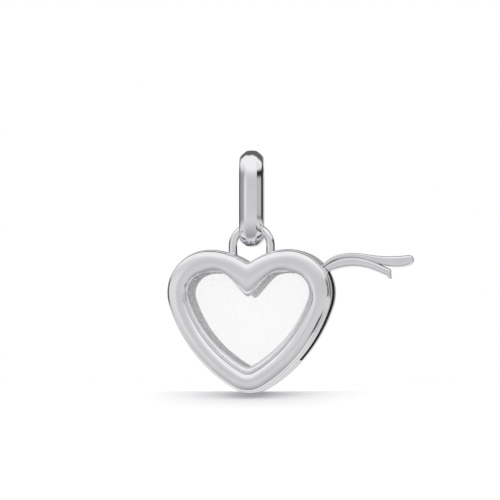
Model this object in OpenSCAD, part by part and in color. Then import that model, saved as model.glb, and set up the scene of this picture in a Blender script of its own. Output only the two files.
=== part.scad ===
// Floating locket: a heart case with two clear windows, a side gate, and a bail to hang it by.
// Millimetres, +Z up, the heart's face towards -Y. The origin is the top of the space inside
// the bail, where a chain bears. The gate is drawn open.

/* [Heart] */
// Width of the heart at the edge of its face
heart_w = 21.7; // [21.2:0.1:22.2]
// Height of the heart, from the top of its lobes to its tip
heart_h = 18.6; // [18.2:0.1:19.2]
// Radius of each lobe
lobe_r = 5.4; // [5.2:0.05:5.6]
// Radius of each long side
side_r = 20; // [18:0.5:24]
// Radius of the rounded tip
tip_r = 3.6; // [3.3:0.1:4.2]
// Radius of each lobe's shoulder, from its top towards the hollow
shoulder_r = 8.4; // [8:0.1:8.8]
// Radius of the hollow between the lobes
notch_r = 0.9; // [0.8:0.05:1.2]
// How far the top of the lobes lies under the origin
heart_drop = 12.8; // [12.7:0.1:13]

/* [Case] */
// Thickness of the whole case, over both domed faces
case_t = 6.8; // [6.7:0.1:7.2]
// Width of the metal rim around each window
rim_w = 2.7; // [2.4:0.1:2.9]
// Width of the side band, from front seam to back seam
band_w = 5.2; // [5.1:0.1:5.3]
// Thickness of the side band's wall
wall_t = 1; // [0.8:0.1:1.2]
// How far the side stands outside the edge of the face
side_out = 0.4; // [0.3:0.05:0.5]
// Gap between pieces that lie face to face
seam = 0.05; // [0.03:0.01:0.08]
// Thickness of each window
glass_t = 0.45; // [0.35:0.05:0.5]

/* [Hanging ring] */
// Radius of the ring at the middle of its wire
ring_r = 2.6; // [2.5:0.05:2.7]
// Thickness of the ring's wire
wire_d = 1.15; // [1:0.05:1.2]
// How far the middle of the ring lies under the origin
ring_drop = 11.86; // [11.8:0.02:11.9]

/* [Bail] */
// Width of the bail's band
bail_w = 3.25; // [3:0.05:3.3]
// Thickness of the bail's band at its crown
bail_t = 1.15; // [1:0.05:1.2]
// Height of the space inside the bail
bail_in_h = 10.84; // [10.8:0.02:10.9]
// Depth of the space inside the bail
bail_in_d = 4.8; // [4.8:0.1:5.2]
// How far the bail is turned on the ring
bail_turn = 9; // [0:1:9]

/* [Gate] */
// Place of the hinge on the right lobe, above the lobe's middle
hinge_angle = 35; // [33:1:37]
// Radius of the gate's barrel around its pin
barrel_r = 0.62; // [0.58:0.01:0.64]
// Thickness of the hinge pin
pin_d = 0.6; // [0.5:0.05:0.64]
// Width of the slot in the side band
slot_w = 1.9; // [1.8:0.05:2.2]
// Length of the gate from its pin to its tip
gate_len = 12.4; // [12.2:0.1:12.6]
// Radius of the gate's rib at the middle of its thickness
rib_r = 8.2; // [7.8:0.1:8.6]
// Thickness of the gate's rib
rib_t = 1.25; // [1:0.05:1.3]
// How far the cover stands above the rib
cover_t = 0.6; // [0.5:0.05:0.7]

/* [Hidden] */

silver = [0.86, 0.86, 0.87];
dark_silver = [0.72, 0.72, 0.74];
clear = [0.93, 0.95, 0.96, 0.35];
steps = 48;                             // sides of a full circle
sliver = 0.02;                          // overlap that makes two shapes one solid

// The heart's arcs, in the XZ plane
lobe_c = [heart_w / 2 - lobe_r, -heart_drop - lobe_r];
shoulder_c = [lobe_c[0], -heart_drop - shoulder_r];
tip_c = [0, -heart_drop - heart_h + tip_r];
notch_c = [0, shoulder_c[1] + sqrt(pow(shoulder_r + notch_r, 2) - pow(shoulder_c[0], 2))];
side_c = meeting(lobe_c, side_r - lobe_r, tip_c, side_r - tip_r);
notch_end = angle_to(notch_c, shoulder_c);
lobe_end = angle_to(side_c, lobe_c);
side_end = angle_to(side_c, tip_c);

// The window's lobes run down straight to its notch, which is a blunt point
win_notch_r = 0.45;
win_notch_drop = 3.84;                  // from the heart's hollow down to that point's middle
win_notch_c = [0, notch_c[1] - notch_r - win_notch_drop];
win_lobe_r = 2.75;
win_lobe_in = 1.15;                     // how far its middle lies inside the lobe's middle
win_lobe_c = [lobe_c[0] - win_lobe_in, lobe_c[1] + lobe_r - rim_w - win_lobe_r];
win_gap = norm(win_lobe_c - win_notch_c);
win_cross = angle_to(win_notch_c, win_lobe_c) + 180 - acos((win_lobe_r + win_notch_r) / win_gap);

arc_steps = [6, 10, 14, 18, 6];         // points on the notch, shoulder, lobe, side and tip

glass_share = 0.38;                     // where the glass ends, as a share of the rim's width

// Rings of a frame's section from its seam over the dome to the window, each with how far it
// lies outside the face's edge, its share of the way in to the window, and its depth
dome_y = case_t / 2;
frame_back = band_w / 2 + seam;
frame_out = side_out / 2;               // the rims stand out less than the band between them
frame_rings = [
    // out, share, depth
    [frame_out, 0, frame_back],
    [frame_out, 0, dome_y - 0.6],
    [frame_out / 2, 0, dome_y - 0.38],
    [0, 0, dome_y - 0.27],
    [0, 0.2, dome_y - 0.08],
    [0, 0.45, dome_y],
    [0, 0.7, dome_y - 0.1],
    [0, 0.88, dome_y - 0.3],
    [0, 1, dome_y - 0.5],
    [0, 1, frame_back]
];

// The gate, drawn open around its pin at [0, 0]
hinge_pos = lobe_c + (lobe_r + side_out - barrel_r) * [cos(hinge_angle), sin(hinge_angle)];
rib_c = [4.2, 1.12 - rib_r];            // middle of the rib's arc
rib_turn = [17, -23];                   // the arc's ends, left and right of its crown
rib_tail = 1.9;                         // straight stretch after the arc
cover_turn = -7;                        // where the cover leaves the rib's arc
tongue_rise = 12;                       // how far the tongue then turns up again
tongue_r = 32;                          // radius of that turn
tongue_z = [0.47, 1.95];                // underside and top of the tongue at its tip
tip_round = 0.7;                        // rounding of the tongue's tip
cover_w = 1.7;
rib_w = 1.4;
nub_r = 0.22;                           // catch under the rib's end
pin_play = 0.04;                        // around the pin, in the gate's barrel
slot_play = 0.12;                       // past the gate's tip, at the slot's end
hinge_play = 0.3;                       // around the gate's barrel, in the side band
slot_wedge = [[0, 0], [10, -2], [4, -20], [-8, -20]];   // the side of the hinge the gate covers

// The hanging ring's feet
leg_end = -13.75;                       // where each leg ends inside the lobe's wall
foot_z = -13.35;                        // underside of the solder
foot_h = 0.95;
foot_r = 0.85;

// Point at distances r1 and r2 from two points, on the side away from the heart's right side
function meeting(c1, r1, c2, r2) =
    let (gap = norm(c2 - c1), u = (c2 - c1) / gap,
         along = (r1 * r1 - r2 * r2 + gap * gap) / (2 * gap),
         across = sqrt(r1 * r1 - along * along))
    c1 + along * u + across * [u[1], -u[0]];

function angle_to(from, to) = atan2(to[1] - from[1], to[0] - from[0]);

function polar(c, r, a) = c + r * [cos(a), sin(a)];

function arc(c, r, a0, a1, n) = [for (i = [0:n - 1]) polar(c, r, a0 + (a1 - a0) * i / (n - 1))];

// Right half of the heart's edge, grown outwards by out, from the notch down to the tip
function heart_half(out) = concat(
    arc(notch_c, notch_r - out, -90, notch_end, arc_steps[0]),
    arc(shoulder_c, shoulder_r + out, notch_end + 180, 90 + 1, arc_steps[1]),
    arc(lobe_c, lobe_r + out, 90, lobe_end, arc_steps[2]),
    arc(side_c, side_r + out, lobe_end - 1, side_end, arc_steps[3]),
    arc(tip_c, tip_r + out, side_end - 2, -90, arc_steps[4]));

// Right half of the window's edge, with the same number of points
function window_half() = concat(
    arc(win_notch_c, win_notch_r, -90, win_cross - 180, arc_steps[0]),
    arc(win_lobe_c, win_lobe_r, win_cross, 90 + 1, arc_steps[1]),
    arc(lobe_c, lobe_r - rim_w, 90, lobe_end, arc_steps[2]),
    arc(side_c, side_r - rim_w, lobe_end - 1, side_end, arc_steps[3]),
    arc(tip_c, tip_r - rim_w, side_end - 2, -90, arc_steps[4]));

// A half closed by its mirror image, without the two points on the axis twice
function whole(half) = let (n = len(half))
    concat(half, [for (i = [n - 2:-1:1]) [-half[i][0], half[i][1]]]);

function heart(out) = whole(heart_half(out));
function window() = whole(window_half());

// Edge that lies a share of the way from the face's edge to the window
function between(share) = let (a = heart(0), b = window())
    [for (i = [0:len(a) - 1]) a[i] + share * (b[i] - a[i])];

function ring_edge(row) = row[1] == 0 ? heart(row[0]) : between(row[1]);

// Closed skin through rings of points, the last ring joined to the first
function skin_faces(rings, n) = [
    for (j = [0:rings - 1]) for (i = [0:n - 1])
        let (k = (j + 1) % rings, m = (i + 1) % n)
        each [[j * n + i, j * n + m, k * n + m], [j * n + i, k * n + m, k * n + i]]
];

// Outline in the XZ plane, given a thickness along Y
module plate(t) {
    rotate([90, 0, 0]) linear_extrude(t, center = true) children();
}

// Heart-shaped rim with a domed face, towards -Y
module frame() {
    edges = [for (row = frame_rings) ring_edge(row)];
    n = len(edges[0]);
    points = [for (j = [0:len(edges) - 1]) for (p = edges[j]) [p[0], -frame_rings[j][2], p[1]]];
    polyhedron(points, skin_faces(len(edges), n), convexity = 6);
}

module front_frame() {
    color(silver) frame();
}

module back_frame() {
    color(silver) mirror([0, 1, 0]) frame();
}

module glass_plate() {
    translate([0, (glass_t - band_w) / 2, 0]) plate(glass_t) polygon(between(glass_share));
}

module front_glass() {
    color(clear) glass_plate();
}

module back_glass() {
    color(clear) mirror([0, 1, 0]) glass_plate();
}

// Open ring: half a circle and two straight legs, soldered into the lobes with a foot of solder
module hanging_ring() {
    translate([0, 0, -ring_drop]) rotate([90, 0, 0]) rotate_extrude(angle = 180, $fn = steps)
        translate([ring_r, 0]) circle(d = wire_d, $fn = steps / 2);
    for (side = [-1, 1]) translate([side * ring_r, 0, leg_end]) {
        cylinder(h = -ring_drop - leg_end, d = wire_d, $fn = steps / 2);
        translate([0, 0, foot_z - leg_end])
            cylinder(h = foot_h, r1 = foot_r, r2 = wire_d / 2 - 2 * sliver, $fn = steps / 2);
    }
}

// Outline of the slot: what the gate's tip can reach from its pin, under the hinge
module slot_outline() {
    intersection() {
        translate(hinge_pos) circle(gate_len + slot_play, $fn = steps * 2);
        translate(hinge_pos) polygon(slot_wedge);
    }
    translate(hinge_pos) circle(barrel_r + hinge_play, $fn = steps);
}

// Wall of the case, the hanging ring soldered on top of it, and the ears of the hinge
module case_band() {
    color(dark_silver) {
        difference() {
            union() {
                plate(band_w) difference() {
                    polygon(heart(side_out));
                    polygon(heart(side_out - wall_t));
                }
                plate(band_w) translate(hinge_pos) circle(barrel_r, $fn = steps);
                hanging_ring();
            }
            plate(slot_w) slot_outline();
            plate(band_w + 1) translate(hinge_pos) circle(pin_d / 2 + sliver, $fn = steps);
        }
    }
}

module gate_pin() {
    color(silver) plate(band_w - 2 * sliver) translate(hinge_pos) circle(d = pin_d, $fn = steps);
}

// Middle-line point of the rib's end, after its straight tail
rib_last = polar(rib_c, rib_r, 90 + rib_turn[1]) + rib_tail * [cos(rib_turn[1]), sin(rib_turn[1])];
rib_side = [-sin(rib_turn[1]), cos(rib_turn[1])];
cover_leave = polar(rib_c, rib_r + rib_t / 2 + cover_t, 90 + cover_turn);
tongue_c = cover_leave + tongue_r * [-sin(cover_turn), cos(cover_turn)];

// The rib: a curved bar from the barrel to its blunt end
module rib_outline() {
    a0 = 90 + rib_turn[0];
    a1 = 90 + rib_turn[1];
    polygon(concat(
        [[-0.1, 0.55]],
        arc(rib_c, rib_r + rib_t / 2, a0, a1, 12),
        [rib_last + rib_t / 2 * rib_side, rib_last - rib_t / 2 * rib_side],
        arc(rib_c, rib_r - rib_t / 2, a1, a0, 12),
        [[0.4, -0.45]]));
    translate(rib_last - (rib_t / 2 - nub_r / 2) * rib_side) circle(nub_r, $fn = steps / 2);
}

// The cover: follows the rib's arc, then turns up again into a tongue past the rib's end
module cover_outline() {
    a0 = 90 + rib_turn[0];
    turn = -90 + cover_turn;
    polygon(concat(
        [[-0.3, 0.52]],
        arc(rib_c, rib_r + rib_t / 2 + cover_t, a0, 90 + cover_turn, 10),
        arc(tongue_c, tongue_r, turn + 1, turn + tongue_rise - 1, 8),
        arc([gate_len - tip_round, tongue_z[1] - tip_round], tip_round, 80, -60, 8),
        [[rib_last[0] - 0.4, tongue_z[0]]],
        arc(rib_c, rib_r, 90 + rib_turn[1], a0, 12),
        [[0.1, 0.3]]));
}

// Gate in its open place, hung on the pin by its barrel
module gate() {
    color(silver) difference() {
        union() {
            plate(cover_w) translate(hinge_pos) cover_outline();
            plate(rib_w) translate(hinge_pos) rib_outline();
            plate(cover_w) translate(hinge_pos) circle(barrel_r, $fn = steps);
        }
        plate(slot_w) translate(hinge_pos) circle(pin_d / 2 + pin_play, $fn = steps);
    }
}

// Section of the bail's band: flat inside, domed outside, with rounded shoulders
function bail_section() = let (n = 16) concat(
    [[0, -bail_w / 2 + 0.15], [0.15, -bail_w / 2]],
    [for (i = [1:n - 1]) let (a = 180 * i / n)
        [0.25 + (bail_t - 0.25) * pow(sin(a), 0.62), -bail_w / 2 * sign(cos(a)) * pow(abs(cos(a)), 0.8)]],
    [[0.15, bail_w / 2], [0, bail_w / 2 - 0.15]]);

// Half turn of the band at one end of the bail
module bail_bend() {
    rotate([0, -90, 0]) rotate([0, 0, -90]) rotate_extrude(angle = 180, $fn = steps * 2)
        translate([bail_in_d / 2, 0]) polygon(bail_section());
}

// One straight side of the bail
module bail_leg(length) {
    translate([0, bail_in_d / 2, -length])
        linear_extrude(length) rotate([0, 0, 90]) polygon(bail_section());
}

// Closed loop of band, in the YZ plane before its turn
module bail() {
    straight = bail_in_h - bail_in_d;
    color(silver) rotate([0, 0, bail_turn]) translate([0, 0, -bail_in_d / 2]) {
        bail_bend();
        translate([0, 0, -straight]) mirror([0, 0, 1]) bail_bend();
        bail_leg(straight);
        mirror([0, 1, 0]) bail_leg(straight);
    }
}

bail();
case_band();
front_frame();
back_frame();
front_glass();
back_glass();
gate();
gate_pin();
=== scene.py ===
import math

import bmesh
import bpy
import mathutils
import numpy as np
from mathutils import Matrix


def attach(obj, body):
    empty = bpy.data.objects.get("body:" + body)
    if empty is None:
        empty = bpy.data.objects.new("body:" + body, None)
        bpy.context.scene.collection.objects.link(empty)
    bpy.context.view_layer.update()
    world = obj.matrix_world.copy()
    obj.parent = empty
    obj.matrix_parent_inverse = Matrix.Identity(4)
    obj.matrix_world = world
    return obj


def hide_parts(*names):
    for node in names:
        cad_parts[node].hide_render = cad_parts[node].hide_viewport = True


# Floating locket in polished silver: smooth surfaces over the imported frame, in studio light.
# Shapes are worked out in millimetres and put into the meshes in metres.

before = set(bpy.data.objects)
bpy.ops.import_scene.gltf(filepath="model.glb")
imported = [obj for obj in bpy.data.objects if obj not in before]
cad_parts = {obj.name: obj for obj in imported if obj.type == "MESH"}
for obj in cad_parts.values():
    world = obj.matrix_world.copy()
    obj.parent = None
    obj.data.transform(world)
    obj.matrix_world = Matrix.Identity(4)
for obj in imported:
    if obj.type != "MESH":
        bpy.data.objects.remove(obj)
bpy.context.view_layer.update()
print("frame loaded:", len(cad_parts), "nodes")

toMetres = 0.001


# Meshes from grids

def gridFaces(rows, columns, closeRows=False, closeColumns=False):
    # quads between neighbouring grid points, wrapping round where the grid is closed
    i = np.arange(rows if closeRows else rows - 1)
    j = np.arange(columns if closeColumns else columns - 1)
    a, b = np.meshgrid(i, j, indexing="ij")
    c, d = (a + 1) % rows, (b + 1) % columns
    quads = [a * columns + b, a * columns + d, c * columns + d, c * columns + b]
    return np.stack(quads, axis=-1).reshape(-1, 4)


def endFans(rows, columns):
    # triangles that close a tube's two open ends, round two points put in after its grid
    k = np.arange(columns)
    turn, last, centre = (k + 1) % columns, (rows - 1) * columns, rows * columns
    return [np.stack([k, turn, np.full(columns, centre)], axis=1),
            np.stack([last + k, last + turn, np.full(columns, centre + 1)], axis=1)]


def addPiece(name, points, faces, body, nodes=(), materials=(), sharp=35.0, slots=None):
    # one object from points in mm; the faces may be several arrays of quads or triangles
    mesh = bpy.data.meshes.new(name)
    groups = faces if isinstance(faces, list) else [faces]
    mesh.from_pydata((np.asarray(points, float).reshape(-1, 3) * toMetres).tolist(), [],
                     [f for g in groups for f in g.tolist()])
    if slots is not None:
        mesh.polygons.foreach_set("material_index", np.asarray(slots, np.int32))
    work = bmesh.new()
    work.from_mesh(mesh)
    bmesh.ops.remove_doubles(work, verts=work.verts, dist=1e-8)
    bmesh.ops.recalc_face_normals(work, faces=work.faces)
    work.to_mesh(mesh)
    work.free()
    mesh.shade_smooth()
    mesh.set_sharp_from_angle(angle=math.radians(sharp))
    piece = bpy.data.objects.new(name, mesh)
    bpy.context.scene.collection.objects.link(piece)
    for material in materials:
        mesh.materials.append(material)
    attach(piece, body)
    if nodes:
        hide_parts(*nodes)
    return piece


def smoothLine(knots, values, at):
    # natural cubic spline through the knots: the second slopes come from one banded system
    x, y = np.asarray(knots, float), np.asarray(values, float)
    h = np.diff(x)
    n = len(x)
    system, right = np.eye(n), np.zeros(n)
    k = np.arange(1, n - 1)
    system[k, k - 1], system[k, k], system[k, k + 1] = h[:-1], 2 * (h[:-1] + h[1:]), h[1:]
    right[k] = 6 * (np.diff(y)[1:] / h[1:] - np.diff(y)[:-1] / h[:-1])
    m = np.linalg.solve(system, right)
    s = np.clip(np.searchsorted(x, at) - 1, 0, n - 2)
    a, b = x[s + 1] - at, at - x[s]
    return ((m[s] * a ** 3 + m[s + 1] * b ** 3) / (6 * h[s])
            + (y[s] / h[s] - m[s] * h[s] / 6) * a + (y[s + 1] / h[s] - m[s + 1] * h[s] / 6) * b)


def blurClosed(values, spacing, width):
    # Gaussian blur along a closed, evenly spaced line, done on its frequencies
    waves = np.fft.rfftfreq(values.shape[0], spacing)
    keep = np.exp(-2 * (math.pi * width * waves) ** 2)
    shape = (-1,) + (1,) * (values.ndim - 1)
    return np.fft.irfft(np.fft.rfft(values, axis=0) * keep.reshape(shape), values.shape[0], axis=0)


def lengthAlong(points):
    return np.concatenate([[0], np.cumsum(np.linalg.norm(np.diff(points, axis=0), axis=1))])


def arcPoints(centre, radius, start, stop, count=400):
    a = np.radians(np.linspace(start, stop, count))
    return np.stack([centre[0] + radius * np.cos(a), centre[1] + radius * np.sin(a)], axis=1)


def superOval(halfWide, halfHigh, power, count):
    # |x/a|^n + |y/b|^n = 1, walked by angle so that the points stay evenly spread
    a = np.linspace(0, 2 * math.pi, count, endpoint=False) + math.pi / count
    c, s = np.cos(a), np.sin(a)
    r = (np.abs(c) ** power + np.abs(s) ** power) ** (-1 / power)
    return halfWide * r * c, halfHigh * r * s


# The heart's lines

heart = {
    "width": 21.7, "height": 18.6, "drop": 12.8,
    "lobe": 5.4, "shoulder": 8.4, "side": 20.0, "tip": 3.6, "notch": 0.9,
    "rim": 2.7, "windowNotch": 0.45, "windowNotchDrop": 3.84, "windowLobe": 2.75, "windowLobeIn": 1.15,
    "windowWiden": 1.025,  # the window is a little wider for its height than the arcs give
    "windowLift": 0.4,     # mm that its tip is lifted, less and less towards its top
    "soften": (0.3, 0.22), # mm over which one arc passes into the next, at the edge and the window
    "evenOut": 0.9,        # mm over which the rim's cross lines are evened out
    "around": 640,         # points round the heart
}


def angleTo(a, b):
    return math.degrees(math.atan2(b[1] - a[1], b[0] - a[0]))


def heartArcs():
    # tangent arcs: hollow between the lobes, shoulder, lobe, long side, tip; and the window's
    h = heart
    lobe = np.array([h["width"] / 2 - h["lobe"], -h["drop"] - h["lobe"]])
    tip = np.array([0, -h["drop"] - h["height"] + h["tip"]])
    shoulder = np.array([lobe[0], -h["drop"] - h["shoulder"]])
    notch = np.array([0, shoulder[1] + math.sqrt((h["shoulder"] + h["notch"]) ** 2 - lobe[0] ** 2)])
    gap = np.linalg.norm(tip - lobe)
    u = (tip - lobe) / gap
    near, far = h["side"] - h["lobe"], h["side"] - h["tip"]
    along = (near ** 2 - far ** 2 + gap ** 2) / (2 * gap)
    side = lobe + along * u + math.sqrt(near ** 2 - along ** 2) * np.array([u[1], -u[0]])
    atNotch, atLobe, atTip = angleTo(notch, shoulder), angleTo(side, lobe), angleTo(side, tip)
    outer = [arcPoints(notch, h["notch"], -90, atNotch),
             arcPoints(shoulder, h["shoulder"], atNotch + 180, 90),
             arcPoints(lobe, h["lobe"], 90, atLobe), arcPoints(side, h["side"], atLobe, atTip),
             arcPoints(tip, h["tip"], atTip, -90)]
    low = np.array([0, notch[1] - h["notch"] - h["windowNotchDrop"]])
    lobeIn = np.array([lobe[0] - h["windowLobeIn"], lobe[1] + h["lobe"] - h["rim"] - h["windowLobe"]])
    reach = np.linalg.norm(lobeIn - low)
    bend = math.acos((h["windowLobe"] + h["windowNotch"]) / reach)
    cross = angleTo(low, lobeIn) + 180 - math.degrees(bend)
    inner = [arcPoints(low, h["windowNotch"], -90, cross - 180),
             arcPoints(lobeIn, h["windowLobe"], cross, 90),
             arcPoints(lobe, h["lobe"] - h["rim"], 90, atLobe),
             arcPoints(side, h["side"] - h["rim"], atLobe, atTip),
             arcPoints(tip, h["tip"] - h["rim"], atTip, -90)]
    return outer, inner


def closedHalf(arcs):
    half = np.concatenate(arcs)
    return np.concatenate([half, (half * [-1, 1])[::-1]])


def heartLines():
    # edge and window as closed lines with matching points: the place on the window is a blurred
    # function of the place on the edge, so that the rim's cross lines fan out evenly
    outer, inner = heartArcs()
    marks = []
    for arcs in (outer, inner):
        ends = np.cumsum([lengthAlong(a)[-1] for a in arcs])
        whole = 2 * ends[-1]
        marks.append((np.concatenate([[0], ends, (whole - ends[::-1])[1:], [whole]]), whole))
    (edgeMarks, edgeWhole), (windowMarks, windowWhole) = marks
    s = np.arange(heart["around"]) / heart["around"] * edgeWhole
    w = np.interp(s, edgeMarks, windowMarks)
    drift = w - s * windowWhole / edgeWhole
    w = s * windowWhole / edgeWhole + blurClosed(drift, s[1], heart["evenOut"])
    lines = []
    both = zip((outer, inner), (s, w), (edgeWhole, windowWhole), heart["soften"])
    for arcs, place, whole, soften in both:
        dense = closedHalf(arcs)
        run = lengthAlong(dense)
        line = np.stack([np.interp(place * run[-1] / whole, run, dense[:, k]) for k in (0, 1)], axis=1)
        lines.append(blurClosed(line, s[1], soften))
    edge, window = lines
    down = (window[:, 1].max() - window[:, 1]) / np.ptp(window[:, 1])
    lifted = window[:, 1] + heart["windowLift"] * down ** 2
    window = np.stack([window[:, 0] * heart["windowWiden"], lifted], axis=1)
    ahead = np.roll(edge, -1, axis=0) - np.roll(edge, 1, axis=0)
    ahead /= np.linalg.norm(ahead, axis=1)[:, None]
    outward = np.stack([-ahead[:, 1], ahead[:, 0]], axis=1)
    middle = np.array([0, edge[:, 1].mean()])
    outward *= np.sign(((edge - middle) * outward).sum())
    return edge, window, outward, s


edgeLine, windowLine, outLine, edgeRun = heartLines()


def alongHeart(out, share, depth):
    # grid of points: out mm outside the edge, or a share of the way in to the window, at a depth
    out, share, depth = (np.atleast_2d(np.asarray(v, float)) for v in (out, share, depth))
    flat = (edgeLine[:, None, :] + share[..., None] * (windowLine - edgeLine)[:, None, :]
            + out[..., None] * outLine[:, None, :])
    y = np.broadcast_to(depth, flat.shape[:2])
    return np.stack([flat[..., 0], y, flat[..., 1]], axis=-1)


# Materials

def linear(hexColour):
    # sRGB hex to linear red, green and blue
    c = np.array([int(hexColour[k:k + 2], 16) for k in (0, 2, 4)]) / 255
    c = np.where(c <= 0.04045, c / 12.92, ((c + 0.055) / 1.055) ** 2.4)
    return tuple(c.tolist()) + (1.0,)


def addNode(tree, kind, inputs=None, links=None, **settings):
    # a node with its settings, its fixed inputs, and links given as input: output socket
    node = tree.nodes.new(kind)
    for key, value in settings.items():
        setattr(node, key, value)
    for key, value in (inputs or {}).items():
        node.inputs[key].default_value = value
    for key, socket in (links or {}).items():
        tree.links.new(socket, node.inputs[key])
    return node


def grain(tree, place, size, detail, **inputs):
    # soft random grain, its size in mm
    inputs = {"Scale": 1000 / size, "Detail": detail, **inputs}
    node = addNode(tree, "ShaderNodeTexNoise", inputs, {"Vector": place})
    return node.outputs["Fac"]


def newMaterial(name):
    material = bpy.data.materials.new(name)
    material.use_nodes = True
    tree = material.node_tree
    shader = tree.nodes["Principled BSDF"]
    place = addNode(tree, "ShaderNodeTexCoord")
    return material, tree, shader, place.outputs["Object"]


silverLook = {
    "colour": "F3F3F5", "haze": "E6E6EA",
    "smooth": 0.035, "hazy": 0.085,     # roughness of a mirror polish and of its faint haze
    "hazeSize": 2.4,                    # mm across a hazy patch
    "waveSize": 1.7, "waveDepth": 0.0016,   # mm: the soft unevenness left by hand polishing
    "hairSize": 0.09, "hairDepth": 0.00002,
}


def polishedSilver():
    # cast sterling silver, hand polished and rhodium plated: neutral, mirror bright, with a faint
    # haze and a soft unevenness that makes its reflections flow
    look = silverLook
    material, tree, shader, place = newMaterial("polishedSilver")
    haze = grain(tree, place, look["hazeSize"], 3.0, Roughness=0.55)
    tint = addNode(tree, "ShaderNodeMix", {6: linear(look["colour"]), 7: linear(look["haze"])},
                   {0: haze}, data_type="RGBA")
    tree.links.new(tint.outputs[2], shader.inputs["Base Color"])
    rough = addNode(tree, "ShaderNodeMapRange",
                    {"From Min": 0.3, "From Max": 0.75, "To Min": look["smooth"], "To Max": look["hazy"]},
                    {"Value": haze})
    tree.links.new(rough.outputs["Result"], shader.inputs["Roughness"])
    wave = grain(tree, place, look["waveSize"], 1.0)
    hair = grain(tree, place, look["hairSize"], 2.0)
    soft = addNode(tree, "ShaderNodeBump", {"Strength": 1.0, "Distance": look["waveDepth"] * toMetres},
                   {"Height": wave})
    fine = addNode(tree, "ShaderNodeBump", {"Strength": 1.0, "Distance": look["hairDepth"] * toMetres},
                   {"Height": hair, "Normal": soft.outputs["Normal"]})
    tree.links.new(fine.outputs["Normal"], shader.inputs["Normal"])
    shader.inputs["Metallic"].default_value = 1.0
    return material


def oxidisedSilver():
    # the slot's walls in painted shade: a dull near black, painted so that the slot reads as a deep
    # shadowed cut
    material, tree, shader, place = newMaterial("oxidisedSilver")
    pits = grain(tree, place, 0.25, 3.0)
    ramp = addNode(tree, "ShaderNodeValToRGB", links={"Fac": pits})
    ramp.color_ramp.elements[0].color = linear("08080A")
    ramp.color_ramp.elements[1].color = linear("1B1B1E")
    tree.links.new(ramp.outputs["Color"], shader.inputs["Base Color"])
    bump = addNode(tree, "ShaderNodeBump", {"Strength": 1.0, "Distance": 0.004 * toMetres},
                   {"Height": pits})
    tree.links.new(bump.outputs["Normal"], shader.inputs["Normal"])
    shader.inputs["Metallic"].default_value = 0.0
    shader.inputs["Roughness"].default_value = 0.6
    return material


def pickledSilver():
    # the inside of the case, white from the acid pickle and never polished: frosty and pale, so
    # that it takes shade softly, lighter towards the window
    material, tree, shader, place = newMaterial("pickledSilver")
    frost = grain(tree, place, 1.5, 2.0)
    rough = addNode(tree, "ShaderNodeMapRange",
                    {"From Min": 0.3, "From Max": 0.7, "To Min": 0.72, "To Max": 0.84}, {"Value": frost})
    tree.links.new(rough.outputs["Result"], shader.inputs["Roughness"])
    shader.inputs["Base Color"].default_value = linear("F6F6F8")
    shader.inputs["Metallic"].default_value = 0.0
    return material


def windowGlass():
    # flat mineral glass, ground and polished: a clear sheet that leaves only a faint film of light
    material, tree, shader, place = newMaterial("windowGlass")
    smear = grain(tree, place, 3.0, 2.0)
    rough = addNode(tree, "ShaderNodeMapRange",
                    {"From Min": 0.4, "From Max": 0.8, "To Min": 0.0, "To Max": 0.012}, {"Value": smear})
    tree.links.new(rough.outputs["Result"], shader.inputs["Roughness"])
    shader.inputs["Base Color"].default_value = linear("FDFEFE")
    shader.inputs["Alpha"].default_value = 0.08
    shader.inputs["IOR"].default_value = 1.52
    return material


def studioPaper():
    # smooth white background paper, with a grain too fine to see but for its softness
    material, tree, shader, place = newMaterial("studioPaper")
    fibre = grain(tree, place, 0.8, 2.0)
    ramp = addNode(tree, "ShaderNodeValToRGB", links={"Fac": fibre})
    ramp.color_ramp.elements[0].color = linear("F6F6F7")
    ramp.color_ramp.elements[1].color = linear("F9F9FA")
    tree.links.new(ramp.outputs["Color"], shader.inputs["Base Color"])
    shader.inputs["Roughness"].default_value = 0.9
    shader.inputs["Specular IOR Level"].default_value = 0.1
    return material


silver = polishedSilver()
pickled = pickledSilver()
blackened = oxidisedSilver()
glass = windowGlass()
paper = studioPaper()
print("materials made")


# Rims and windows

rim = {
    "seam": 2.65,          # depth of the rim's back, at the seam with the band
    "side": 0.2,           # how far the rim swells outside the edge of its face
    "tuck": 0.08,          # how far it draws in again at the seam
    "shoulder": 2.7,       # depth where the dome starts
    "crown": 3.4,          # depth of the dome's top
    "dome": 2.2,           # where the dome would end, mm in from the edge, on a rim 2.7 mm wide
    "power": 2.05,         # 2 is an ellipse, more is fuller at the shoulders
    "lipRound": 0.1, "lipDepth": 3.02, "groove": 2.94,      # thin raised lip and the groove beside it
    "hollow": (0.33, 0.24, 0.42),   # lip's distance from the window: everywhere, more at sides, at tip
    "stepUp": 0.02,        # how far in front of the seam the hollow ends
}


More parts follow.
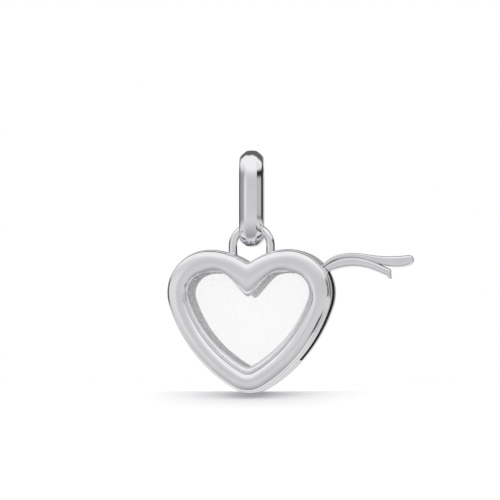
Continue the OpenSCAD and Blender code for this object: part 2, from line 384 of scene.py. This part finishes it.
def rimProfile():
    # half oval over the rim's width, a thin half-round lip, and a quarter-round hollow down to
    # the glass, then a flat back. Each point has mm outside the edge, share of the way to the
    # lip, mm past the lip's middle, share of the hollow, and depth
    r = rim
    a = np.radians(np.linspace(180, 0, 65))
    c, s = np.cos(a), np.sin(a)
    size = (np.abs(c) ** r["power"] + np.abs(s) ** r["power"]) ** (-1 / r["power"])
    half = (r["dome"] + r["side"]) / 2
    x = (r["dome"] - r["side"]) / 2 + half * size * c
    d = r["shoulder"] + (r["crown"] - r["shoulder"]) * size * s
    keep = (d > r["groove"]) | (x < half)
    x, d = x[keep], d[keep]
    tuck = np.radians(np.linspace(-80, -8, 7))
    b = np.radians(np.linspace(180, 0, 13))
    t = np.linspace(0, math.pi / 2, 14)[1:]
    out = np.concatenate([r["side"] - r["tuck"] * (1 - np.cos(tuck)), np.maximum(-x, 0), np.zeros(28)])
    share = np.concatenate([np.zeros(7), np.maximum(x, 0) / r["dome"], np.ones(26), [1, 0.75]])
    past = np.concatenate([np.zeros(7), -r["lipRound"] * share[7:7 + len(x)], r["lipRound"] * np.cos(b),
                           r["lipRound"] * np.cos(t), [0, 0]])
    hollow = np.concatenate([np.zeros(7 + len(x) + 13), 1 - np.cos(t), [1, 0]])
    depth = np.concatenate([r["shoulder"] + (r["shoulder"] - r["seam"]) * np.sin(tuck), d,
                            r["lipDepth"] + r["lipRound"] * np.sin(b),
                            r["lipDepth"] - (r["lipDepth"] - r["seam"] - r["stepUp"]) * np.sin(t),
                            [r["seam"], r["seam"]]])
    return out, share, past, hollow, depth


def addRim(name, node, side):
    # the hollow is wider at the heart's sides and tip; the last cells, on the flat back, are pickled
    out, share, past, hollow, depth = rimProfile()
    wide, atSides, atTip = rim["hollow"]
    width = np.linalg.norm(windowLine - edgeLine, axis=1)[:, None]
    across = np.abs(windowLine[:, :1]) / np.abs(windowLine[:, 0]).max()
    down = (windowLine[:, 1:].max() - windowLine[:, 1:]) / np.ptp(windowLine[:, 1])
    room = wide + atSides * across ** 4 + atTip * down ** 1.5
    place = share * (width - room) + past + hollow * room
    points = alongHeart(out, place / width, side * depth)
    rows, columns = points.shape[:2]
    faces = gridFaces(rows, columns, True, True)
    slots = np.tile(np.arange(columns) >= columns - 3, rows).astype(int)
    piece = addPiece(name, points, faces, "locket", [node], [silver, pickled], sharp=38, slots=slots)
    return piece


pane = {
    "share": 0.38,         # where its edge is, as a share of the way from the heart's edge to the window
    "thick": 0.45, "middle": 2.375, "roundOff": 0.06,
}


def addWindow(name, node, side):
    # thin plate with its edges rounded over, closed by a fan at its middle line
    share, thick, middle, roundOff = pane["share"], pane["thick"], pane["middle"], pane["roundOff"]
    a = np.radians(np.linspace(-90, 90, 9))
    edge = np.concatenate([-roundOff * (1 - np.cos(a[:5])), -roundOff * (1 - np.cos(a[4:]))])
    y = np.concatenate([-thick / 2 + roundOff * (1 + np.sin(a[:5])),
                        thick / 2 - roundOff * (1 - np.sin(a[4:]))])
    rings = alongHeart(np.zeros(len(y)), share - edge / heart["rim"], side * (middle + y))
    shrink = np.linspace(0, 1, 8)[1:-1]
    core = np.array([0, 0, rings[:, 0, 2].mean() + 1.0])
    flats = []
    for ring in (rings[:, 0], rings[:, -1]):
        inward = core * [1, 0, 1] + ring * [0, 1, 0] - ring
        flats.append(ring[:, None, :] + shrink[None, :, None] * inward[:, None, :])
    skin = np.concatenate([flats[0][:, ::-1], rings, flats[1]], axis=1)
    faces = gridFaces(skin.shape[0], skin.shape[1], True, False)
    n, m = skin.shape[:2]
    k = np.arange(n)
    low = np.stack([k * m, ((k + 1) % n) * m, np.full(n, n * m)], axis=1)
    high = np.stack([k * m + m - 1, ((k + 1) % n) * m + m - 1, np.full(n, n * m + 1)], axis=1)
    ends = np.array([core * [1, 0, 1] + skin[0, 0] * [0, 1, 0], core * [1, 0, 1] + skin[0, -1] * [0, 1, 0]])
    points = np.concatenate([skin.reshape(-1, 3), ends])
    piece = addPiece(name, points, [faces, low, high], "locket", [node], [glass], sharp=50)
    return piece


addRim("rimFront", "front_frame", -1)
addRim("rimBack", "back_frame", 1)
addWindow("windowFront", "front_glass", -1)
addWindow("windowBack", "back_glass", 1)
print("rims and windows made")


# Side band with its slot, and the hanging ring

band = {
    "half": 2.6, "base": 0.1, "swell": 0.31, "power": 5.0,   # outer face: base plus a full half oval
    "inner": -0.6, "crest": 0.3,     # inner face; where the slot's ends are measured, past the base
    "corner": 0.35,                  # width of the finely cut strip along each edge
    "slotHalf": 1.02, "hinge": (9.6932, -15.2289), "above": 0.92, "reach": 12.52,
}


def slotEnds():
    # places along the edge where the slot starts above the hinge and ends at the gate's reach
    outer = edgeLine + (band["base"] + band["crest"]) * outLine
    away = np.linalg.norm(outer - np.array(band["hinge"]), axis=1)
    right = outer[:, 0] > 0
    nearest = int(np.argmin(np.where(right, away, 99)))
    down = np.arange(nearest, heart["around"] // 2)
    stop = np.interp(band["reach"], away[down], edgeRun[down])
    up = np.arange(0, nearest)
    start = np.interp(-band["above"], -away[up], edgeRun[up])
    return start, stop


def addBand():
    # outer and inner face over one grid of places; the slot's cells are left out of both, and
    # walls join the two faces along every open edge
    start, stop = slotEnds()
    places = np.unique(np.round(np.concatenate([edgeRun, [start, stop]]), 6))
    keep = np.ones(len(places), bool)
    for end in (start, stop):
        near = np.abs(places - end)
        keep &= (near > 0.03) | (near < 1e-5)
    places = places[keep]
    edge = np.stack([np.interp(places, edgeRun, edgeLine[:, k], period=2 * edgeRun[heart["around"] // 2])
                     for k in (0, 1)], axis=1)
    out = np.stack([np.interp(places, edgeRun, outLine[:, k], period=2 * edgeRun[heart["around"] // 2])
                    for k in (0, 1)], axis=1)
    rest = np.linspace(band["slotHalf"], band["half"] - band["corner"], 6)[1:]
    turn = band["half"] - band["corner"] * (1 - np.linspace(0, 1, 12)[1:]) ** 2.2
    half = np.concatenate([np.linspace(0, band["slotHalf"], 7), rest, turn])
    y = np.concatenate([-half[:0:-1], half])
    across = np.minimum(np.abs(y) / band["half"], 1)
    swell = band["base"] + band["swell"] * (1 - across ** band["power"]) ** (1 / band["power"])
    rows, columns = len(places), len(y)
    sheets = []
    for offset in (swell, np.full(columns, band["inner"])):
        flat = edge[:, None, :] + offset[None, :, None] * out[:, None, :]
        sheets.append(np.stack([flat[..., 0], np.broadcast_to(y, flat.shape[:2]), flat[..., 1]], axis=-1))
    points = np.concatenate([s.reshape(-1, 3) for s in sheets])
    size = rows * columns
    cells = gridFaces(rows, columns, True, False)
    middleOf = (y[:-1] + y[1:]) / 2
    placeOf = (places + np.append(places[1:], places[0] + 2 * edgeRun[heart["around"] // 2])) / 2
    hole = ((placeOf > start) & (placeOf < stop))[:, None] & (np.abs(middleOf) < band["slotHalf"])[None, :]
    solid = ~hole
    faces = [cells[solid.ravel()], cells[solid.ravel()] + size]
    slots = [np.zeros(solid.sum(), int), np.full(solid.sum(), 2)]

    def wall(a, b):
        return np.stack([a, b, b + size, a + size], axis=1)

    k = np.arange(rows)
    for column in (0, columns - 1):
        faces.append(wall(k * columns + column, ((k + 1) % rows) * columns + column))
        slots.append(np.zeros(rows, int))
    # the slot's end walls and long walls take material slot 1, the near-black painted shade inside the slot
    ends = np.argwhere(hole != np.roll(hole, 1, axis=0))            # the slot's two ends
    a = ends[:, 0] * columns + ends[:, 1]
    faces.append(wall(a, a + 1))
    slots.append(np.ones(len(a), int))
    lengthways = np.argwhere(hole[:, 1:] != hole[:, :-1])           # its two long walls
    a = lengthways[:, 0] * columns + lengthways[:, 1] + 1
    b = ((lengthways[:, 0] + 1) % rows) * columns + lengthways[:, 1] + 1
    faces.append(wall(a, b))
    slots.append(np.ones(len(a), int))
    piece = addPiece("sideBand", points, faces, "locket", ["case_band"], [silver, blackened, pickled],
                     sharp=38, slots=np.concatenate(slots))
    return piece


ring = {
    "radius": 2.6, "wire": 0.575, "middle": -11.86, "end": -13.75,
    "foot": 0.34, "footTop": -12.55, "around": 36,
}


def tube(name, path, radius, around, body, nodes, materials):
    # a circle carried along a path in the XZ plane, its ends closed by a small fan
    ahead = np.gradient(path, axis=0)
    ahead /= np.linalg.norm(ahead, axis=1)[:, None]
    side = np.stack([-ahead[:, 1], ahead[:, 0]], axis=1)
    a = np.linspace(0, 2 * math.pi, around, endpoint=False)
    flat = path[:, None, :] + (radius[:, None] * np.cos(a))[..., None] * side[:, None, :]
    y = radius[:, None] * np.sin(a)
    skin = np.stack([flat[..., 0], y, flat[..., 1]], axis=-1)
    n = skin.shape[0]
    faces = gridFaces(n, around, False, True)
    ends = np.array([[path[0, 0], 0, path[0, 1]], [path[-1, 0], 0, path[-1, 1]]])
    points = np.concatenate([skin.reshape(-1, 3), ends])
    piece = addPiece(name, points, [faces] + endFans(n, around), body, nodes, materials, sharp=50)
    return piece


def addRing():
    # half circle and two straight legs; the solder swells the wire where it meets the lobes
    down = np.linspace(ring["end"], ring["middle"], 40)[:-1]
    a = np.radians(np.linspace(180, 0, 90))
    top = np.stack([ring["radius"] * np.cos(a), ring["middle"] + ring["radius"] * np.sin(a)], axis=1)
    left = np.stack([np.full(len(down), -ring["radius"]), down], axis=1)
    path = np.concatenate([left, top, (left * [-1, 1])[::-1]])
    depth = np.clip((ring["footTop"] - path[:, 1]) / (ring["footTop"] + 13.35), 0, 1.15)
    radius = ring["wire"] + ring["foot"] * depth ** 2.6
    return tube("hangingRing", path, radius, ring["around"], "locket", ["case_band"], [silver])


addBand()
addRing()
print("side band and hanging ring made")


# Bail

bail = {
    "inHigh": 10.84, "inDeep": 4.8, "wide": 3.25, "thick": 1.15,
    "turn": 9.0, "soften": 1.2, "along": 420, "across": 84,
    "steepAt": [0, 0.3, 0.42, 0.5, 0.85, 0.95, 1.0],     # share of the half width, from the middle out
    "steepness": [0, 9, 20, 36, 44, 58, 72],             # degrees there
    "innerAt": [0.985, 0.93, 0.8, 0.4],                  # the inside's points, as a share of the half width
    "innerHigh": [0.06, 0.01, 0.0, 0.0],                 # and their height over the loop's path, in mm
}


def addBail():
    # band's section carried round a closed loop: straight sides and half circles, with the
    # loop's turning angle blurred so that reflections run on without a break
    b = bail
    radius = b["inDeep"] / 2
    straight = b["inHigh"] - b["inDeep"]
    whole = 2 * straight + 2 * math.pi * radius
    s = np.arange(b["along"]) * whole / b["along"]
    marks = np.cumsum([0, straight / 2, math.pi * radius, straight, math.pi * radius, straight / 2])
    turning = np.interp(s, marks, [0, 0, math.pi, math.pi, 2 * math.pi, 2 * math.pi])
    even = 2 * math.pi * s / whole
    turning = even + blurClosed(turning - even, s[1], b["soften"])
    step = s[1]
    ahead = np.stack([np.sin(turning), np.cos(turning)], axis=1)      # y and z, up the back side
    path = np.cumsum(ahead, axis=0) * step
    path -= path.mean(axis=0)
    path[:, 0] *= -1
    ahead[:, 0] *= -1
    path[:, 0] *= b["inDeep"] / np.ptp(path[:, 0])
    path[:, 1] *= b["inHigh"] / np.ptp(path[:, 1])
    path[:, 1] -= path[:, 1].max()
    normal = np.stack([ahead[:, 1], -ahead[:, 0]], axis=1)
    middle = np.array([0, path[:, 1].mean()])
    normal *= np.sign(((path - middle) * normal).sum())
    # section: the steepness grows evenly over the face, faster over the shoulders, then the edge
    # turns in to a nearly flat inside
    across = np.linspace(0, 1, 400)
    steep = np.interp(across, b["steepAt"], np.tan(np.radians(b["steepness"])))
    fall = np.concatenate([[0], np.cumsum((steep[1:] + steep[:-1]) / 2 * np.diff(across))]) * b["wide"] / 2
    run = lengthAlong(np.stack([across * b["wide"] / 2, fall], axis=1))
    even = np.linspace(0, run[-1], b["across"] // 2)
    sideX, sideH = np.interp(even, run, across) * b["wide"] / 2, b["thick"] - np.interp(even, run, fall)
    innerX, innerH = b["wide"] / 2 * np.array(b["innerAt"]), np.array(b["innerHigh"])
    half = np.stack([np.concatenate([sideX, innerX]), np.concatenate([sideH, innerH])], axis=1)
    loop = np.concatenate([half, (half * [-1, 1])[:0:-1]])
    x, h = loop[:, 0], loop[:, 1]
    flat = path[:, None, :] + h[None, :, None] * normal[:, None, :]
    points = np.stack([np.broadcast_to(x, flat.shape[:2]), flat[..., 0], flat[..., 1]], axis=-1)
    turn = math.radians(b["turn"])
    spin = np.array([[math.cos(turn), -math.sin(turn), 0], [math.sin(turn), math.cos(turn), 0], [0, 0, 1]])
    faces = gridFaces(points.shape[0], points.shape[1], True, True)
    piece = addPiece("bailLoop", points @ spin.T, faces, "hanger", ["bail"], [silver], sharp=60)
    return piece


addBail()
print("bail made")


# Gate

gate = {
    # places along the open gate, mm from its pin, with the heights of its lines there
    "coverAt": [-0.35, 0.5, 1.5, 2.8, 4.2, 5.8, 7.3, 9.5, 11.2, 12.4],
    "coverTop": [0.28, 1.12, 1.78, 2.18, 2.3, 2.15, 1.93, 1.8, 1.88, 2.02],
    "coverLow": [-0.1, 0.55, 1.2, 1.58, 1.68, 1.45, 0.98, 0.38, 0.42, 0.72],
    "ribAt": [0.1, 1.0, 2.2, 3.5, 4.9, 6.4, 7.7, 8.7, 9.6],
    "ribTop": [0.3, 0.95, 1.52, 1.78, 1.75, 1.42, 0.9, 0.42, 0.0],
    "ribLow": [-0.5, -0.22, 0.16, 0.4, 0.4, 0.13, -0.34, -0.78, -1.14],
    "coverHalf": 0.85, "ribHalf": 0.7, "coverPower": 5.0, "ribPower": 3.2,
    "tip": 12.42, "tipRound": 0.62, "ribEnd": 9.35,
    "catchAt": 9.22, "catchHalf": 0.24, "catchLift": 0.02, "catchPower": 4.0,
    # barrel: distance from the pin's middle and place along it
    "barrel": [[0.34, -0.85], [0.56, -0.85], [0.62, -0.79], [0.62, 0.79], [0.56, 0.85], [0.34, 0.85]],
    "barrelAround": 72,
}


def loft(name, x, low, top, halfWide, power, body, nodes, materials, across=56):
    # an oval section stood on each place along the gate, between its lower and upper line
    c, s = superOval(1.0, 1.0, power, across)
    y = halfWide[:, None] * c
    z = ((low + top) / 2)[:, None] + ((top - low) / 2)[:, None] * s
    hinge = band["hinge"]
    skin = np.stack([np.broadcast_to((x + hinge[0])[:, None], y.shape), y, z + hinge[1]], axis=-1)
    n = skin.shape[0]
    faces = gridFaces(n, across, False, True)
    ends = np.array([skin[0].mean(axis=0), skin[-1].mean(axis=0)])
    points = np.concatenate([skin.reshape(-1, 3), ends])
    piece = addPiece(name, points, [faces] + endFans(n, across), body, nodes, materials, sharp=55)
    return piece


def addGate():
    g = gate
    # the tongue's tip closes by a quarter oval along its last stretch
    t = np.linspace(0, math.pi / 2, 26)
    x = np.concatenate([np.linspace(g["coverAt"][0], g["tip"] - g["tipRound"], 150)[:-1],
                        g["tip"] - g["tipRound"] + g["tipRound"] * np.sin(t)])
    close = np.concatenate([np.ones(149), np.maximum(np.cos(t), 0.001) ** 0.8])
    top, low = smoothLine(g["coverAt"], g["coverTop"], x), smoothLine(g["coverAt"], g["coverLow"], x)
    middle, half = (top + low) / 2, (top - low) / 2
    loft("gateCover", x, middle - half * close, middle + half * close, np.full(len(x), g["coverHalf"]),
         g["coverPower"], "door", ["gate"], [silver])
    x = np.linspace(g["ribAt"][0], g["ribEnd"], 120)
    top, low = smoothLine(g["ribAt"], g["ribTop"], x), smoothLine(g["ribAt"], g["ribLow"], x)
    loft("gateRib", x, low, top, np.full(len(x), g["ribHalf"]), g["ribPower"], "door", ["gate"], [silver])
    # catch: a small half round under the rib's end
    t = np.linspace(-1, 1, 24)
    x = g["catchAt"] + g["catchHalf"] * t
    middle = smoothLine(g["ribAt"], g["ribLow"], x)
    half = g["catchHalf"] * np.sqrt(np.maximum(1 - t ** 2, 0.0004))
    wide = g["ribHalf"] * (0.75 + 0.25 * np.sqrt(np.maximum(1 - t ** 2, 0)))
    loft("gateCatch", x, middle - half + g["catchLift"], middle + half, wide, g["catchPower"],
         "door", ["gate"], [silver], across=32)
    # barrel: a round profile turned about the pin
    profile = np.array(g["barrel"])
    a = np.linspace(0, 2 * math.pi, g["barrelAround"], endpoint=False)
    x = band["hinge"][0] + profile[None, :, 0] * np.cos(a)[:, None]
    z = band["hinge"][1] + profile[None, :, 0] * np.sin(a)[:, None]
    points = np.stack([x, np.broadcast_to(profile[None, :, 1], x.shape), z], axis=-1)
    faces = gridFaces(g["barrelAround"], len(profile), True, True)
    piece = addPiece("gateBarrel", points, faces, "door", ["gate"], [silver], sharp=30)


addGate()
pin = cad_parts["gate_pin"]
pin.data.materials.clear()
pin.data.materials.append(silver)
print("gate made")


# Floor, light and camera

sheet = {
    "under": -32.05, "rise": 0.5, "fall": 2.4, "slope": 0.2,   # height under the tip, and its soft step
    "grid": 61, "far": 330, "near": 30,                        # points a side; mm, cubic and linear part
}


def addPaper():
    # sheet of paper that lifts a little as it passes under the locket: height is a soft step,
    # low in front and a little higher behind, on a grid that is finest under the tip
    side = np.linspace(-1, 1, sheet["grid"])
    x = y = sheet["far"] * side ** 3 + sheet["near"] * side
    reach = np.where(y > 0, sheet["rise"], sheet["fall"])
    z = sheet["under"] + reach * np.tanh(y * sheet["slope"] / reach)
    points = np.stack(np.broadcast_arrays(x[None, :], y[:, None], z[:, None]), axis=-1)
    mesh = bpy.data.meshes.new("paperSheet")
    mesh.from_pydata((points.reshape(-1, 3) * toMetres).tolist(), [], gridFaces(len(x), len(y)).tolist())
    mesh.shade_smooth()
    mesh.materials.append(paper)
    floor = bpy.data.objects.new("paperSheet", mesh)
    bpy.context.scene.collection.objects.link(floor)
    floor.visible_glossy = False        # the silver mirrors the studio, and not the paper


studio = {
    # brightness in front of the locket from straight down to straight up: elevation, brightness
    "front": [(-90, 0.3), (-60, 0.43), (-40, 0.56), (-26, 0.67), (-14, 0.74), (-4, 0.7),
              (6, 0.65), (16, 0.68),
              (26, 0.82), (34, 1.0), (46, 1.2), (90, 1.2)],
    # soft boxes and dark gaps round it: azimuth and half width, elevation and half height, edge
    # softness, all in degrees, and the brightness there
    "patches": [
        ("leftGlow", -46, 24, 2, 14, 14, 0.84),
        ("leftSide", -92, 22, 4, 14, 12, 0.36),
        ("leftFlag", -130, 32, 3, 12, 10, 0.02),
        ("backWall", 180, 32, 6, 12, 10, 0.42),
        ("backTop", 180, 56, 48, 30, 16, 0.14),
        ("lowBack", 180, 84, -56, 30, 12, 1.0),
        ("lowSide", 180, 100, -22, 6, 6, 0.75),
        ("rightFlag", 116, 38, 8, 14, 8, 0.03),
        ("rightBox", 84, 12, 4, 8, 6, 0.55),
        ("rightTop", 88, 18, 36, 10, 8, 0.9),
        ("rightCard", 78, 26, -28, 5, 5, 0.12),
        ("rightLow", 138, 24, -9, 5, 6, 0.8),
    ],
}


def addMath(tree, operation, *values):
    # one step of arithmetic on numbers and sockets
    numbers = {k: v for k, v in enumerate(values) if isinstance(v, (int, float))}
    sockets = {k: v for k, v in enumerate(values) if k not in numbers}
    return addNode(tree, "ShaderNodeMath", numbers, sockets, operation=operation)


def lightStudio():
    world = bpy.data.worlds.new("softStudio")
    bpy.context.scene.world = world
    world.use_nodes = True
    tree = world.node_tree
    sky = tree.nodes["Background"]
    place = addNode(tree, "ShaderNodeTexCoord")
    parts = addNode(tree, "ShaderNodeSeparateXYZ", links={"Vector": place.outputs["Generated"]})
    front = addMath(tree, "MULTIPLY", parts.outputs["Y"], -1.0)
    azimuth = addMath(tree, "ARCTAN2", parts.outputs["X"], front.outputs[0])
    elevation = addMath(tree, "ARCSINE", parts.outputs["Z"])
    height = addNode(tree, "ShaderNodeMapRange", {"From Min": -math.pi / 2, "From Max": math.pi / 2},
                     {"Value": elevation.outputs[0]})
    ramp = addNode(tree, "ShaderNodeValToRGB", links={"Fac": height.outputs["Result"]})
    ramp.color_ramp.interpolation = "B_SPLINE"
    stops = ramp.color_ramp.elements
    for el, bright in studio["front"][1:-1]:
        stops.new((el + 90) / 180)
    for stop, (el, bright) in zip(stops, studio["front"]):
        stop.color = (bright, bright, bright, 1)
    level = ramp.outputs["Color"]
    for name, az, wide, el, high, soft, bright in studio["patches"]:
        masks = []
        for angle, centre, half, turning in ((azimuth, az, wide, True), (elevation, el, high, False)):
            away = addMath(tree, "SUBTRACT", angle.outputs[0], math.radians(centre))
            if turning:
                away = addMath(tree, "WRAP", away.outputs[0], math.pi, -math.pi)
            size = addMath(tree, "ABSOLUTE", away.outputs[0])
            outside, inside = math.radians(half + soft / 2), math.radians(half - soft / 2)
            mask = addNode(tree, "ShaderNodeMapRange",
                           {"From Min": outside, "From Max": inside, "To Min": 0.0, "To Max": 1.0},
                           {"Value": size.outputs[0]}, interpolation_type="SMOOTHSTEP")
            masks.append(mask.outputs["Result"])
        both = addMath(tree, "MULTIPLY", masks[0], masks[1])
        both.label = name
        mix = addNode(tree, "ShaderNodeMix", {3: bright}, {0: both.outputs[0], 2: level}, data_type="FLOAT")
        level = mix.outputs[0]
    # the studio's wall is plain white, seen straight on and as the light on the paper; its boxes
    # and flags are there for the silver's reflections only
    seen = addNode(tree, "ShaderNodeLightPath")
    plain = addMath(tree, "MAXIMUM", seen.outputs["Is Camera Ray"], seen.outputs["Is Diffuse Ray"])
    wall = addNode(tree, "ShaderNodeMix", {3: 1.0}, {0: plain.outputs[0], 2: level}, data_type="FLOAT")
    tree.links.new(wall.outputs[0], sky.inputs["Strength"])
    sky.inputs["Color"].default_value = linear("FFFFFF")


def addSoftLight(name, place, aim, size, watts):
    lamp = bpy.data.lights.new(name, "AREA")
    lamp.shape, lamp.energy = "RECTANGLE", watts
    lamp.size, lamp.size_y = size[0] * toMetres, size[1] * toMetres
    spot = bpy.data.objects.new(name, lamp)
    spot.location = np.array(place) * toMetres
    away = np.array(aim, float) - np.array(place, float)
    spot.rotation_euler = mathutils.Vector(away).to_track_quat("-Z", "Y").to_euler()
    bpy.context.scene.collection.objects.link(spot)
    spot.visible_glossy = False


view = {"azimuth": 11.0, "elevation": -2.5, "away": 400.0, "aim": (-0.24, 0.0, -12.4), "lens": 212.0}


def addCamera():
    v = view
    az, el = math.radians(v["azimuth"]), math.radians(v["elevation"])
    toCamera = np.array([math.sin(az) * math.cos(el), -math.cos(az) * math.cos(el), math.sin(el)])
    lens = bpy.data.cameras.new("photoCamera")
    lens.lens, lens.sensor_width, lens.clip_start = v["lens"], 36.0, 0.01
    camera = bpy.data.objects.new("photoCamera", lens)
    camera.location = (np.array(v["aim"]) + v["away"] * toCamera) * toMetres
    camera.rotation_euler = mathutils.Vector(-toCamera).to_track_quat("-Z", "Y").to_euler()
    bpy.context.scene.collection.objects.link(camera)
    bpy.context.scene.camera = camera


addPaper()
lightStudio()
addSoftLight("overhead", (0, -20, 400), (0, 0, -33), (1000, 1000), 1.0)
addCamera()
bpy.context.scene.view_settings.view_transform = "Standard"
print("studio set")
